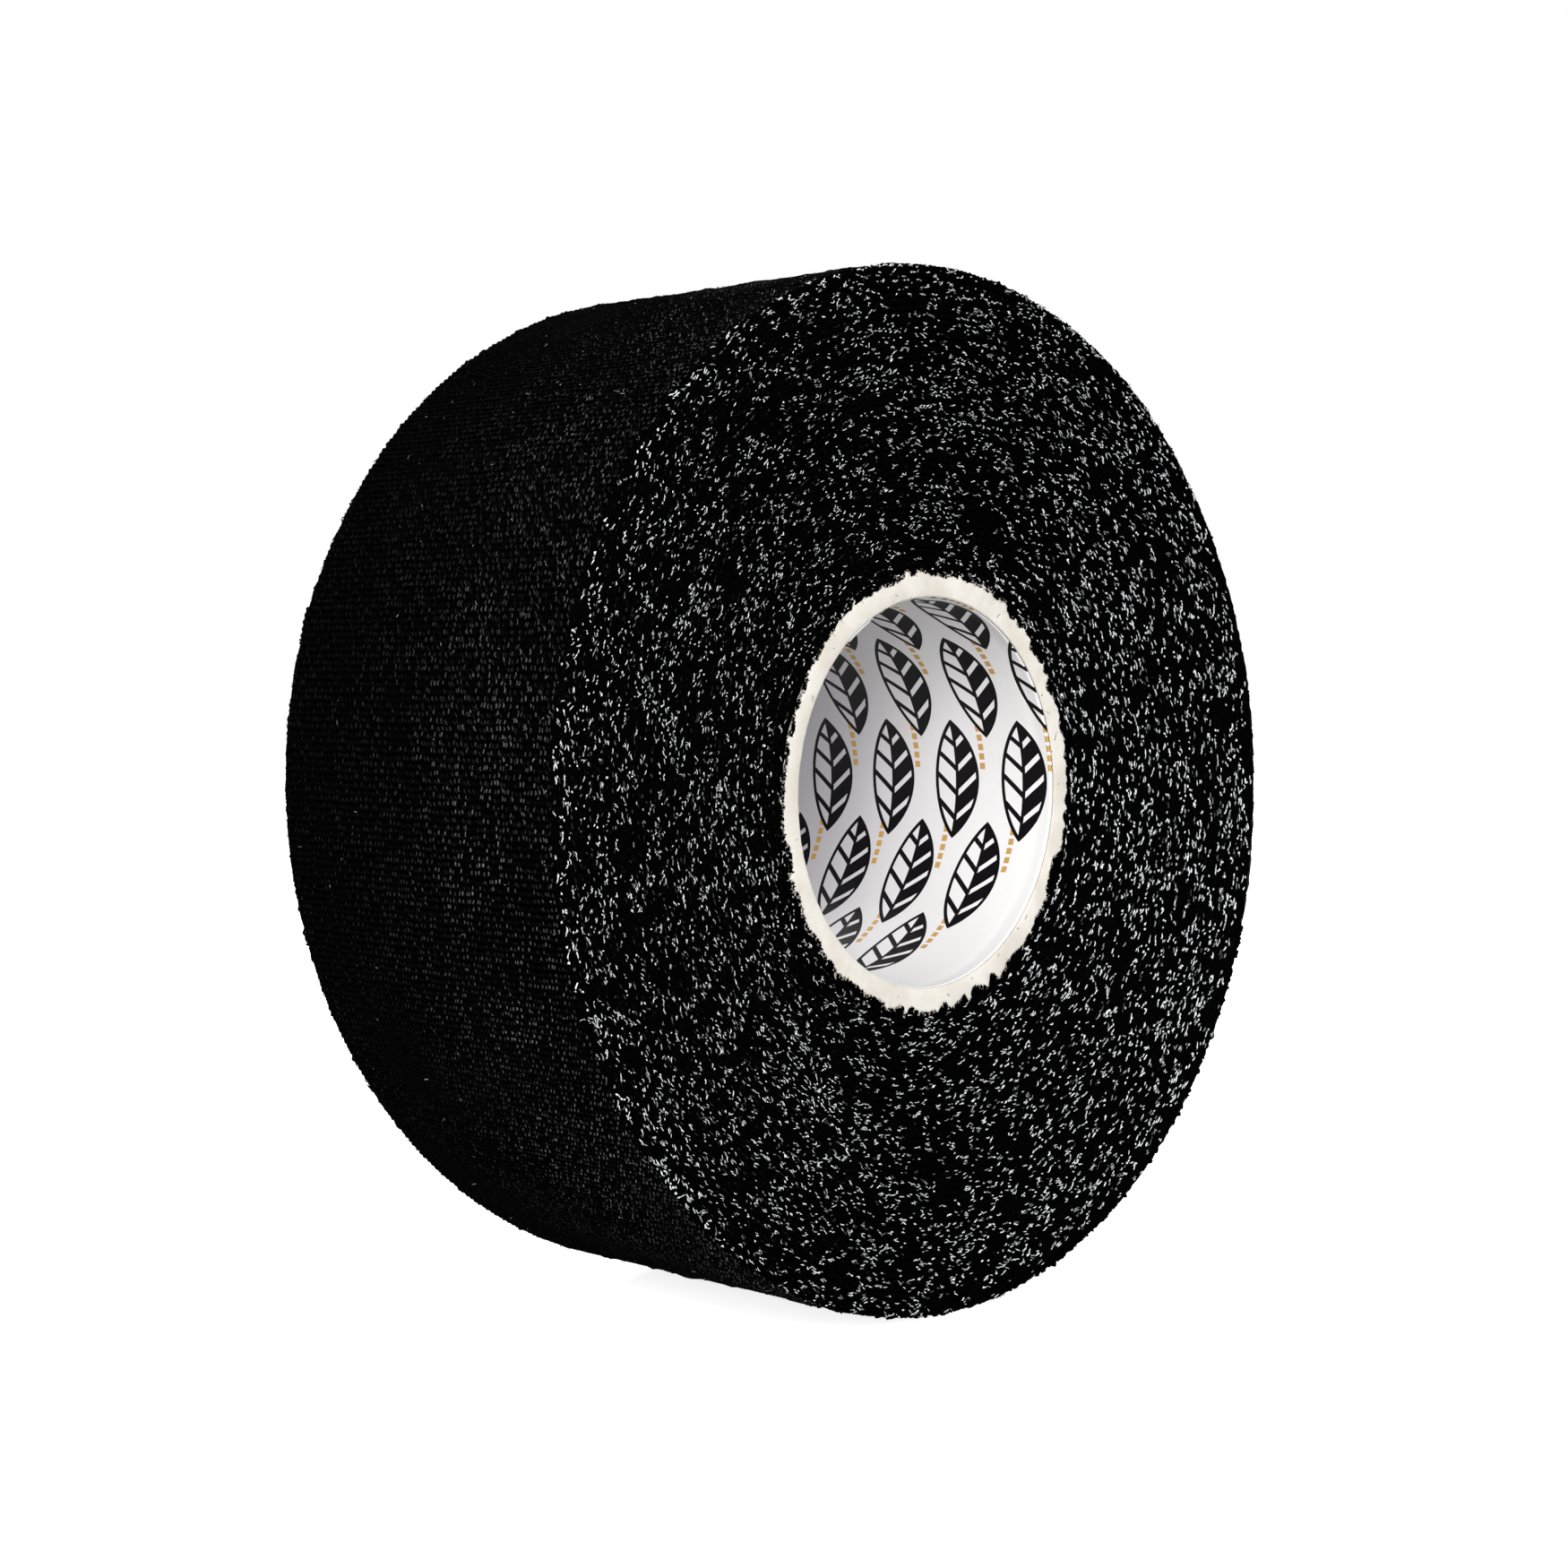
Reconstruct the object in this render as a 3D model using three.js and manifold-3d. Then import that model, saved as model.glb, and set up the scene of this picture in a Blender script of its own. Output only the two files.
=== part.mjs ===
// A roll of elastic fabric grip tape on a paperboard core with a printed paper liner.
// Millimetres. The roll stands on its rim: its axis is Y, its front face looks towards -Y, and +Z is up.
// The origin is the centre of the bore and of the roll's box.
// Angles are measured about the axis as seen from the front, counter-clockwise from +X.

import * as THREE from 'three';
import { mergeVertices } from 'three/addons/utils/BufferGeometryUtils.js';
import Module from 'manifold-3d';

// Driving dimensions
const TAPE_WIDTH = 25;
const TAPE_THICKNESS = 0.36;
const TURN_PITCH = 0.42;            // radial step from one turn to the next
const ROLL_RADIUS = 33.5;           // at the free end, where the roll is thickest
const CORE_RADIUS = 13.7;
const CORE_WALL = 1.05;
const CORE_LENGTH = 25.4;
const LINER_THICKNESS = 0.2;
const LINER_SETBACK = 0.2;          // from each end of the core
const LINER_SEAM = 0.5;             // open width of the liner's butt seam
const LINER_SEAM_DEG = 120;
const SLIDE_FIT = 0.05;             // radial gap between pieces that lie on each other
const SHOULDER = 1.1;               // radius of the soft outer edges of the roll

// The wound turns have slid along the axis, so that the front is dished and the back stands out.
const TELESCOPE = 2.5;              // slide of the innermost turns
const TELESCOPE_FULL_RADIUS = 16.5; // turns inside this radius slid all the way
const TELESCOPE_NONE_RADIUS = 28.5; // turns outside this radius did not slide

// The free end of the tape lies on the roll and peels off it as a chain of short lengths.
const FREE_END_DEG = 36;
const TAIL_SEGMENTS = 4;
const SEGMENT_DEG = 12;
const SEGMENT_GAP = 0.3;
const FACET_DEG = 4;

// Worked-out sizes
const FRONT_Y = -(TAPE_WIDTH + TELESCOPE) / 2;
const BACK_Y = -FRONT_Y;
const CORE_INNER_RADIUS = CORE_RADIUS - CORE_WALL;
const LINER_RADIUS = CORE_INNER_RADIUS - SLIDE_FIT;
const WINDING_INNER_RADIUS = CORE_RADIUS + SLIDE_FIT;
const FACETS = 360 / FACET_DEG;
const PEEL_DEG = TAIL_SEGMENTS * SEGMENT_DEG; // wound angle of the peel line, from the free end
const GAP_DEG = THREE.MathUtils.radToDeg(SEGMENT_GAP / ROLL_RADIUS);

const wasm = await Module();
wasm.setup();

// Booleans on closed three.js geometries

function toSolid(geometry) {
  const bare = geometry.clone();
  bare.deleteAttribute('normal');
  bare.deleteAttribute('uv');
  const merged = mergeVertices(bare, 1e-5);
  return new wasm.Manifold(new wasm.Mesh({
    numProp: 3,
    vertProperties: new Float32Array(merged.attributes.position.array),
    triVerts: new Uint32Array(merged.index.array),
  }));
}

function toGeometry(solid) {
  const mesh = solid.getMesh();
  const geometry = new THREE.BufferGeometry();
  geometry.setAttribute('position', new THREE.BufferAttribute(mesh.vertProperties, 3));
  geometry.setIndex(new THREE.BufferAttribute(mesh.triVerts, 1));
  geometry.computeVertexNormals();
  return geometry;
}

// Turned shapes: [radius, y] corners that close on themselves, outer wall towards +Y

function turned(corners) {
  const outline = [...corners, corners[0]].map(([radius, y]) => new THREE.Vector2(radius, y));
  const phiStart = THREE.MathUtils.degToRad(FREE_END_DEG + 90);
  return new THREE.LatheGeometry(outline, FACETS, phiStart);
}

function ring(inner, outer, front, back) {
  return turned([[inner, front], [outer, front], [outer, back], [inner, back]]);
}

// An outline in the roll's plane, drawn as X and Z, made solid along the axis

function alongAxis(points, front, back) {
  const shape = new THREE.Shape(points);
  const geometry = new THREE.ExtrudeGeometry(shape, { depth: back - front, bevelEnabled: false });
  geometry.rotateX(Math.PI / 2);
  geometry.translate(0, back, 0);
  return geometry;
}

// A point on the wound spiral: woundDeg is measured back along the tape from its free end

function spiralPoint(woundDeg, depth) {
  const radius = ROLL_RADIUS - TURN_PITCH * woundDeg / 360 - depth;
  const angle = THREE.MathUtils.degToRad(FREE_END_DEG - woundDeg);
  return new THREE.Vector2(radius * Math.cos(angle), radius * Math.sin(angle));
}

function spiralStations(fromDeg, toDeg) {
  const stations = [fromDeg];
  const first = Math.floor(fromDeg / FACET_DEG) + 1;
  for (let k = first; k * FACET_DEG < toDeg - 1e-6; k++) {
    stations.push(k * FACET_DEG);
  }
  return [...stations, toDeg];
}

// The space that the wound tape fills: dished at the front, standing out at the back, soft at the rim

function rollEnvelope() {
  const shoulderSteps = 3;
  const wide = ROLL_RADIUS + 0.001;
  const front = [
    [WINDING_INNER_RADIUS, FRONT_Y + TELESCOPE],
    [TELESCOPE_FULL_RADIUS, FRONT_Y + TELESCOPE],
    [TELESCOPE_NONE_RADIUS, FRONT_Y],
  ];
  for (let k = 0; k <= shoulderSteps; k++) {
    const turn = k / shoulderSteps * Math.PI / 2;
    front.push([wide - SHOULDER + SHOULDER * Math.sin(turn), FRONT_Y + SHOULDER - SHOULDER * Math.cos(turn)]);
  }
  const rimBack = FRONT_Y + TAPE_WIDTH;
  const back = [];
  for (let k = 0; k <= shoulderSteps; k++) {
    const turn = k / shoulderSteps * Math.PI / 2;
    back.push([wide - SHOULDER + SHOULDER * Math.cos(turn), rimBack - SHOULDER + SHOULDER * Math.sin(turn)]);
  }
  back.push([TELESCOPE_NONE_RADIUS, rimBack], [TELESCOPE_FULL_RADIUS, BACK_Y], [WINDING_INNER_RADIUS, BACK_Y]);
  return toSolid(turned([...front, ...back]));
}

const envelope = rollEnvelope();

function woundSolid(outline) {
  const blank = toSolid(alongAxis(outline, FRONT_Y - 1, BACK_Y + 1));
  return toGeometry(blank.intersect(envelope));
}

// Pieces

function coreTube() {
  return ring(CORE_INNER_RADIUS, CORE_RADIUS, BACK_Y - CORE_LENGTH, BACK_Y);
}

function coreLiner() {
  const seamDeg = THREE.MathUtils.radToDeg(LINER_SEAM / LINER_RADIUS);
  const from = LINER_SEAM_DEG + seamDeg / 2;
  const sweep = 360 - seamDeg;
  const arc = (radius) => Array.from({ length: FACETS + 1 }, (_, k) => {
    const angle = THREE.MathUtils.degToRad(from + sweep * k / FACETS);
    return new THREE.Vector2(radius * Math.cos(angle), radius * Math.sin(angle));
  });
  const outline = [...arc(LINER_RADIUS), ...arc(LINER_RADIUS - LINER_THICKNESS).reverse()];
  return alongAxis(outline, BACK_Y - CORE_LENGTH + LINER_SETBACK, BACK_Y - LINER_SETBACK);
}

function tapeWinding() {
  const outline = spiralStations(360, 720 - GAP_DEG).map((deg) => spiralPoint(deg, 0));
  return woundSolid(outline.reverse());
}

function tapeLength(fromDeg, toDeg) {
  const stations = spiralStations(fromDeg, toDeg);
  const outer = stations.map((deg) => spiralPoint(deg, 0)).reverse();
  const inner = stations.map((deg) => spiralPoint(deg, TAPE_THICKNESS));
  return woundSolid([...outer, ...inner]);
}

// Materials

const coreBoard = new THREE.MeshStandardMaterial({ color: 0xebe6da, roughness: 0.85, metalness: 0 });
const printedPaper = new THREE.MeshStandardMaterial({ color: 0xf4f3f6, roughness: 0.35, metalness: 0 });
const wovenTape = new THREE.MeshStandardMaterial({ color: 0x0b0b0d, roughness: 0.9, metalness: 0 });

// The assembly

const roll = new THREE.Group();

function addPiece(name, geometry, material) {
  const piece = new THREE.Mesh(geometry, material);
  piece.name = name;
  roll.add(piece);
}

addPiece('core_tube', coreTube(), coreBoard);
addPiece('core_liner', coreLiner(), printedPaper);
addPiece('tape_winding', tapeWinding(), wovenTape);
addPiece('outer_turn', tapeLength(PEEL_DEG + GAP_DEG / 2, 360 - GAP_DEG), wovenTape);
for (let k = 1; k <= TAIL_SEGMENTS; k++) {
  const far = PEEL_DEG - (k - 1) * SEGMENT_DEG - GAP_DEG / 2;
  const near = k === TAIL_SEGMENTS ? 0 : PEEL_DEG - k * SEGMENT_DEG + GAP_DEG / 2;
  addPiece(`tail_length_${k}`, tapeLength(near, far), wovenTape);
}

export default roll;
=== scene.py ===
"""The looks of a roll of elastic grip tape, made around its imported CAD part.

Metres, in the CAD frame: the roll stands on its rim, its axis is Y and its front face looks towards -Y.
Angles about the axis are measured as seen from the front, counter-clockwise from +X.
"""

import bpy
import math
import numpy as np
from mathutils import Matrix, Vector


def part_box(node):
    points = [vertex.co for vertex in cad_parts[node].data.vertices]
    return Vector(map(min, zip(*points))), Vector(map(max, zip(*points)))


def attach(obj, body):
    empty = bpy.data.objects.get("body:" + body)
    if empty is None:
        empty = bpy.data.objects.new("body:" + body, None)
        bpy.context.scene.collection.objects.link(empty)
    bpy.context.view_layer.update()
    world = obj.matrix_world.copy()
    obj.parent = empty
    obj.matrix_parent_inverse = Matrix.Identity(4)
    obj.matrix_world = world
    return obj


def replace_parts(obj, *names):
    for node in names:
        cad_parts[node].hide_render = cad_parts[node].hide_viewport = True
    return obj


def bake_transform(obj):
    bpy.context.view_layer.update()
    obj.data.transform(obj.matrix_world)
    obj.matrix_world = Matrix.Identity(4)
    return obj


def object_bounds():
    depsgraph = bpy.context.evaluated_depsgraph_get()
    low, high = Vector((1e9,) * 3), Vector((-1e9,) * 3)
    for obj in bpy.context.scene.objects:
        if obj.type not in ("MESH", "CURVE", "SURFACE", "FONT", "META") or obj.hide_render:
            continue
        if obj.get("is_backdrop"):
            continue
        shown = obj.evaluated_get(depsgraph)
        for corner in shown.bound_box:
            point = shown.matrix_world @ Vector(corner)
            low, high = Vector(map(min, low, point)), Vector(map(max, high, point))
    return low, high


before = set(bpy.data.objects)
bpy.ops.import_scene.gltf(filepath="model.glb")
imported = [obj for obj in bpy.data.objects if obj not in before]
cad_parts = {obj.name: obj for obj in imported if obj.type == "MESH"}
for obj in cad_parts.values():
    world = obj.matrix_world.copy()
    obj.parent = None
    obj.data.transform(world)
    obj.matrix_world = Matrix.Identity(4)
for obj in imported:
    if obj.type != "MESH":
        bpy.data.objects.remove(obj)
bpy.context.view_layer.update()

# Sizes shared with the CAD part

MM = 0.001
TAPE_WIDTH = 25 * MM
TAPE_THICKNESS = 0.36 * MM
TURN_PITCH = 0.42 * MM
ROLL_RADIUS = 33.5 * MM
SHOULDER = 1.1 * MM                 # radius of the soft corner between a face and the outer side
TELESCOPE_FULL_RADIUS = 16.5 * MM   # the turns inside this radius slid back all the way
TELESCOPE_NONE_RADIUS = 28.5 * MM   # and those outside this one not at all
FREE_END = math.radians(36)
SEGMENT = math.radians(12)
TAIL_SEGMENTS = 4

winding_low, winding_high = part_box("tape_winding")
core_low, core_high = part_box("core_tube")
liner_low, liner_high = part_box("core_liner")
FRONT_Y = winding_low.y
TELESCOPE = winding_high.y - winding_low.y - TAPE_WIDTH
CORE_RADIUS = core_high.x
LINER_RADIUS = liner_high.x
CORE_BORE_RADIUS = LINER_RADIUS + 0.05 * MM
WINDING_INNER_RADIUS = CORE_RADIUS + 0.05 * MM

# The cloth

RIB_PITCH = 0.42 * MM               # ribs lie along the roll's axis, one after another along the tape
STITCH_PITCH = 0.31 * MM            # stitches along each rib
RIB_DEPTH = 0.045 * MM
PRESSED_RELIEF = 0.3                # the share of the ribs' height that is left under other turns
EDGE_LIP = 0.09 * MM                # how far a cut edge's corners stand back from its middle
CLOTH_COLUMNS = 44                  # faces across the tape where its outer side shows

# Next to the core the turns slid less

CORE_HOLD = 1.2 * MM                # how far out from the core that reaches
CORE_HOLD_SLIDE = 0.78              # the share of the full slide at the core

# The pale cut yarn ends along the tape's edges

BUNDLE_PITCH = 0.52 * MM
BUNDLE_CHANCE = 0.53
PATCH_SIZE = 1.7 * MM
SMALL_PATCH_SIZE = 0.8 * MM
BARE_RIM = 0.8 * MM                 # hardly any show this near the right rim,
BARE_RIM_FADE = 0.9 * MM            # and all of them this much further in
CROWDED_RIM = 1.4 * MM              # more of them show this near the left rim,
CLUMPED_RIM = 1.2 * MM              # and coarser ones this near it
CORE_FADE = 1.1 * MM                # they thin out this near the core
LOWER_RIGHT = -0.5                  # angle where they are the coarsest and keep best to the tape's direction

# The roll is a little out of round: longest along this angle

OUT_OF_ROUND = 0.0189
OUT_OF_ROUND_ANGLE = math.radians(-28)


# Seeded noise on a lattice, the same for every piece that meets at a point


def lattice(i, j, salt):
    """A fixed random number from 0 to 1 for each pair of whole numbers, different with each salt."""
    n = (i.astype(np.int64) * 73856093) ^ (j.astype(np.int64) * 19349663) ^ (salt * 83492791)
    n = ((n ^ (n >> 13)) * 1274126177) & 0xFFFFFFFF
    n = ((n ^ (n >> 15)) * 2246822519) & 0xFFFFFFFF
    return ((n ^ (n >> 16)) & 0xFFFFFF) / float(0xFFFFFF)


def noise(a, b=0.0, salt=1):
    """Smooth noise from -1 to 1 with a feature size of 1."""
    a, b = np.broadcast_arrays(np.asarray(a, float), np.asarray(b, float))
    i, j = np.floor(a), np.floor(b)
    u, v = a - i, b - j
    u, v = u * u * (3 - 2 * u), v * v * (3 - 2 * v)
    low = lattice(i, j, salt) * (1 - u) + lattice(i + 1, j, salt) * u
    high = lattice(i, j + 1, salt) * (1 - u) + lattice(i + 1, j + 1, salt) * u
    return 2 * (low * (1 - v) + high * v) - 1


def ring_noise(theta, features, salt):
    """Smooth noise from -1 to 1 round a circle, with so many features in all."""
    place = np.asarray(theta, float) / (2 * math.pi) % 1.0 * features
    i = np.floor(place)
    u = place - i
    u = u * u * (3 - 2 * u)
    here, there = lattice(i % features, 0 * i, salt), lattice((i + 1) % features, 0 * i, salt)
    return 2 * (here * (1 - u) + there * u) - 1


# Meshes


def mesh_object(name, points, faces, materials, face_materials=None, attributes=None):
    """A smooth-shaded piece from its points and from arrays of faces, each with one number of corners."""
    mesh = bpy.data.meshes.new(name)
    points = np.asarray(points, np.float32)
    corners = np.concatenate([np.asarray(block, np.int32).ravel() for block in faces])
    sizes = np.concatenate([np.full(len(block), len(block[0])) for block in faces if len(block)])
    mesh.vertices.add(len(points))
    mesh.vertices.foreach_set("co", points.ravel())
    mesh.loops.add(len(corners))
    mesh.loops.foreach_set("vertex_index", corners)
    mesh.polygons.add(len(sizes))
    mesh.polygons.foreach_set("loop_start", (np.cumsum(sizes) - sizes).astype(np.int32))
    mesh.polygons.foreach_set("use_smooth", np.ones(len(sizes), bool))
    for material in materials:
        mesh.materials.append(material)
    if face_materials is not None:
        mesh.polygons.foreach_set("material_index", np.asarray(face_materials, np.int32))
    mesh.update(calc_edges=True)
    for key, values in (attributes or {}).items():
        mesh.attributes.new(key, "FLOAT_VECTOR", "POINT").data.foreach_set(
            "vector", values.astype(np.float32).ravel())
    made = bpy.data.objects.new(name, mesh)
    bpy.context.scene.collection.objects.link(made)
    return made


def ring_faces(sections, per_section, closed=False):
    """Quads joining rings of points, each ring closed on itself, and end caps unless the rings close."""
    count = sections if closed else sections - 1
    i = np.arange(count)[:, None]
    j = np.arange(per_section)[None, :]
    here, there = i * per_section, (i + 1) % sections * per_section
    across = (j + 1) % per_section
    faces = [np.stack([here + j, there + j, there + across, here + across], -1).reshape(-1, 4)]
    if not closed:
        first = np.arange(per_section)
        faces.append(np.array([first, (sections - 1) * per_section + first[::-1]]))
    return faces


def around(radius, theta, y):
    """Points at these radii and angles about the roll's axis."""
    radius, theta, y = np.broadcast_arrays(radius, theta, y)
    return np.stack([radius * np.cos(theta), y, radius * np.sin(theta)], -1)


def out_of_round(radius, theta):
    """The radius on the squeezed roll: unchanged at the core, changed most at the outside."""
    share = (radius - CORE_RADIUS) / (ROLL_RADIUS - CORE_RADIUS)
    stretch = OUT_OF_ROUND * np.clip(share, 0, 1) * np.cos(2 * (theta - OUT_OF_ROUND_ANGLE))
    return radius + ROLL_RADIUS * stretch


AXIS = np.array([0.0, 1.0, 0.0])


def directions(theta):
    """Unit vectors outward from the axis and counter-clockwise about it."""
    return around(1.0, theta, 0.0), np.stack([-np.sin(theta), 0 * theta, np.cos(theta)], -1)


def axial(amount):
    """Vectors along the roll's axis, one for each of these lengths."""
    return np.stack([0 * amount, amount, 0 * amount], -1)


# Threads: cut yarn ends, loose fibres and torn paper, each a thin bent body with pointed ends

THREAD_PLACES = np.array([-0.5, -0.28, 0.0, 0.28, 0.5])     # of a thread's points, as shares of its length
THREAD_RINGS = len(THREAD_PLACES) - 2
THREAD_SIDES = 3
THREAD_POINTS = THREAD_SIDES * THREAD_RINGS + 2


def threads(rng, middle, along, lift, length, radius, curl, sink):
    """Points of bent threads. They run along `along`, bulge towards `lift` and sink at their ends."""
    count = len(middle)
    side = np.cross(along, lift)
    bow = rng.normal(0, 1, count)[:, None] * (4 * THREAD_PLACES ** 2 - 0.4)
    per_point = (count, len(THREAD_PLACES))
    sway = (bow + rng.normal(0, 0.45, per_point)) * curl[:, None]
    rise = -sink * (4 * THREAD_PLACES ** 2)[None] + rng.normal(0, 0.15 * sink, per_point)
    path = (middle[:, None] + along[:, None] * (length[:, None] * THREAD_PLACES)[..., None]
            + side[:, None] * sway[..., None] + lift[:, None] * rise[..., None])
    run = path[:, 2:] - path[:, :-2]
    run /= np.linalg.norm(run, axis=-1, keepdims=True)
    across = np.cross(run, np.broadcast_to(lift[:, None], run.shape))
    across /= np.linalg.norm(across, axis=-1, keepdims=True)
    up = np.cross(across, run)
    thick = (radius[:, None] * rng.uniform(0.6, 1.35, (count, THREAD_RINGS)))[..., None]
    points = np.empty((count, THREAD_POINTS, 3))
    points[:, 0], points[:, -1] = path[:, 0], path[:, -1]
    for k in range(THREAD_SIDES):
        turn = 2 * math.pi * k / THREAD_SIDES + math.pi / 2
        offset = thick * (up * math.sin(turn) + across * math.cos(turn))
        points[:, 1 + k:-1:THREAD_SIDES] = path[:, 1:-1] + offset
    return points


def thread_faces(count):
    """The faces of so many threads, as a block of triangles and a block of quads."""
    last = THREAD_POINTS - 1
    tips, sides = [], []
    for k in range(THREAD_SIDES):
        after = (k + 1) % THREAD_SIDES
        end = last - THREAD_SIDES
        tips += [[0, 1 + k, 1 + after], [last, end + after, end + k]]
        for ring in range(THREAD_RINGS - 1):
            here = 1 + THREAD_SIDES * ring
            there = here + THREAD_SIDES
            sides.append([here + k, there + k, there + after, here + after])
    step = THREAD_POINTS * np.arange(count)[:, None, None]
    return (np.array(tips)[None] + step).reshape(-1, 3), (np.array(sides)[None] + step).reshape(-1, 4)


def thread_object(name, batch, material):
    """A piece made of these threads."""
    return mesh_object(name, batch.reshape(-1, 3), thread_faces(len(batch)), [material])


# The wound tape. "Wound" is the angle back along the tape from its free end, "run" the length of tape.


def turn_radius(wound):
    """Radius of the tape's outer side."""
    return ROLL_RADIUS - TURN_PITCH * wound / (2 * math.pi)


def run_of(wound):
    """The run at this angle, measured along the spiral."""
    return ROLL_RADIUS * wound - TURN_PITCH * wound ** 2 / (4 * math.pi)


FULL_WOUND = (ROLL_RADIUS - TAPE_THICKNESS - WINDING_INNER_RADIUS) / TURN_PITCH * 2 * math.pi
FULL_RUN = run_of(FULL_WOUND)
START_TURN = 0.8 * 2 * math.pi      # the tape's pressed start, a wedge between the core and the first turn
START_SINK = 0.3 * MM               # how far the start's edges stand back from the first turn's
START_EASE = 5.0                    # the share of that which each radian of the start brings
WOUND_TABLE = np.linspace(0, FULL_WOUND + START_TURN, 40000)
RUN_TABLE = run_of(WOUND_TABLE)


def wound_of(run):
    """The angle at this run."""
    return np.interp(run, RUN_TABLE, WOUND_TABLE)


def edge_y(radius, side):
    """Where the tape's edge lies at this radius: side -1 is the front, 1 the back."""
    held_to = WINDING_INNER_RADIUS + CORE_HOLD
    places = [WINDING_INNER_RADIUS, held_to, TELESCOPE_FULL_RADIUS, TELESCOPE_NONE_RADIUS]
    slide = TELESCOPE * np.interp(radius, places, [CORE_HOLD_SLIDE, 1, 1, 0])
    into = np.clip((radius - ROLL_RADIUS + SHOULDER) / SHOULDER, 0, 1)
    soft = SHOULDER * (1 - np.sqrt(1 - into ** 2))
    flush = FRONT_Y if side < 0 else FRONT_Y + TAPE_WIDTH
    return flush + slide - side * soft


def fray(run, side):
    """How far a cut edge wanders: a slow drift of each turn and a bump at each rib."""
    salt = 5 + side
    drift = 0.07 * MM * noise(run / (9 * MM), salt=salt)
    bumps = 0.06 * MM * noise(run / RIB_PITCH, salt=salt + 4)
    return drift + bumps


def cloth_relief(run, y):
    """Height of the ribs, slubs and knots above the cloth's middle."""
    wave = run + 0.12 * MM * noise(run / (6 * MM), y / (5 * MM), salt=21)
    ribs = RIB_DEPTH * np.cos(2 * math.pi * wave / RIB_PITCH)
    slubs = 0.03 * MM * noise(run / (0.7 * MM), y / (1.1 * MM), salt=22)
    knots = 0.30 * MM * np.clip(noise(run / (0.75 * MM), y / (0.9 * MM), salt=23) - 0.5, 0, 1)
    return ribs + slubs + knots


CLOTH, CUT_EDGE, UNDERSIDE = range(3)
EDGE_DEPTHS = [0.3, 0.7, 1.0]       # of the points down the tape's cut edge, as shares of its thickness
EDGE_LIPS = [0.1, 0.0, 0.9]         # how far each of them stands back, as shares of the edge's lip


def strip_sections(wound, run, across):
    """Rings of points round the tape's section, and the material of the band that each point starts."""
    top = turn_radius(wound)[:, None]
    theta = (FREE_END - wound)[:, None]
    thick = TAPE_THICKNESS * (1 + 0.07 * noise(run / (0.9 * MM), salt=31))[:, None]
    thick = np.minimum(thick, top - WINDING_INNER_RADIUS)
    sunk = START_SINK * np.clip(START_EASE * (wound - FULL_WOUND), 0, 1)

    def edge(depths, side, lips):
        radius = top - thick * np.array(depths)
        drift = fray(run, side) - side * sunk
        return radius, edge_y(radius, side) + drift[:, None] - side * EDGE_LIP * np.array(lips)

    outer_front, outer_back = edge([0], -1, [1]), edge([0], 1, [1])
    share = np.linspace(0, 1, across + 1)
    outer_y = outer_front[1] * (1 - share) + outer_back[1] * share
    outer_radius = top + cloth_relief(run[:, None], outer_y) * (1 if across > 1 else PRESSED_RELIEF)
    back_radius, back_y = edge(EDGE_DEPTHS, 1, EDGE_LIPS)
    front_radius, front_y = edge(EDGE_DEPTHS[::-1], -1, EDGE_LIPS[::-1])
    radius = np.hstack([outer_radius, back_radius, front_radius])
    y = np.hstack([outer_y, back_y, front_y])
    points = around(out_of_round(radius, theta), theta, y)
    cloth = np.stack([np.broadcast_to(run[:, None], y.shape), y, 0 * y], -1) / MM
    edge_band = [CUT_EDGE] * len(EDGE_DEPTHS)
    band = [CLOTH] * across + edge_band + [UNDERSIDE] + edge_band
    return points.reshape(-1, 3), cloth.reshape(-1, 3), band


def tape(name, run_from, run_to, spacing, across):
    """A length of the wound tape as a closed strip."""
    run = np.linspace(run_from, run_to, int(math.ceil((run_to - run_from) / spacing)) + 1)
    points, cloth, band = strip_sections(wound_of(run), run, across)
    faces = ring_faces(len(run), len(band))
    bands = band * (len(run) - 1) + [CUT_EDGE, CUT_EDGE]
    return mesh_object(name, points, faces, TAPE_MATERIALS, bands, {"cloth": cloth})


def to_lower_right(theta):
    """From 1 where this angle points to the roll's lower right to -1 at its upper left."""
    return np.cos(theta - LOWER_RIGHT)


def yarn_chance(theta, radius, side, least):
    """How likely a bundle of yarn ends shows here: in patches, with few at the right rim and by the core."""
    x, z = radius * np.cos(theta), radius * np.sin(theta)
    patch = noise(x / PATCH_SIZE, z / PATCH_SIZE, salt=41 + side)
    patch = patch + 0.6 * noise(x / SMALL_PATCH_SIZE, z / SMALL_PATCH_SIZE, salt=43)
    right = to_lower_right(theta)
    inward = ROLL_RADIUS - radius
    bare = np.clip((inward - BARE_RIM) / BARE_RIM_FADE, least, 1)
    crowded = 1 + 0.5 * np.clip(1 - inward / CROWDED_RIM, 0, 1)
    near_core = np.clip((radius - WINDING_INNER_RADIUS) / CORE_FADE, 0.25, 1)
    patch = 0.25 * patch * (1 - 0.4 * right.clip(0))
    return (BUNDLE_CHANCE + patch) * np.where(right > 0.4, bare, crowded) * near_core


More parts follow.
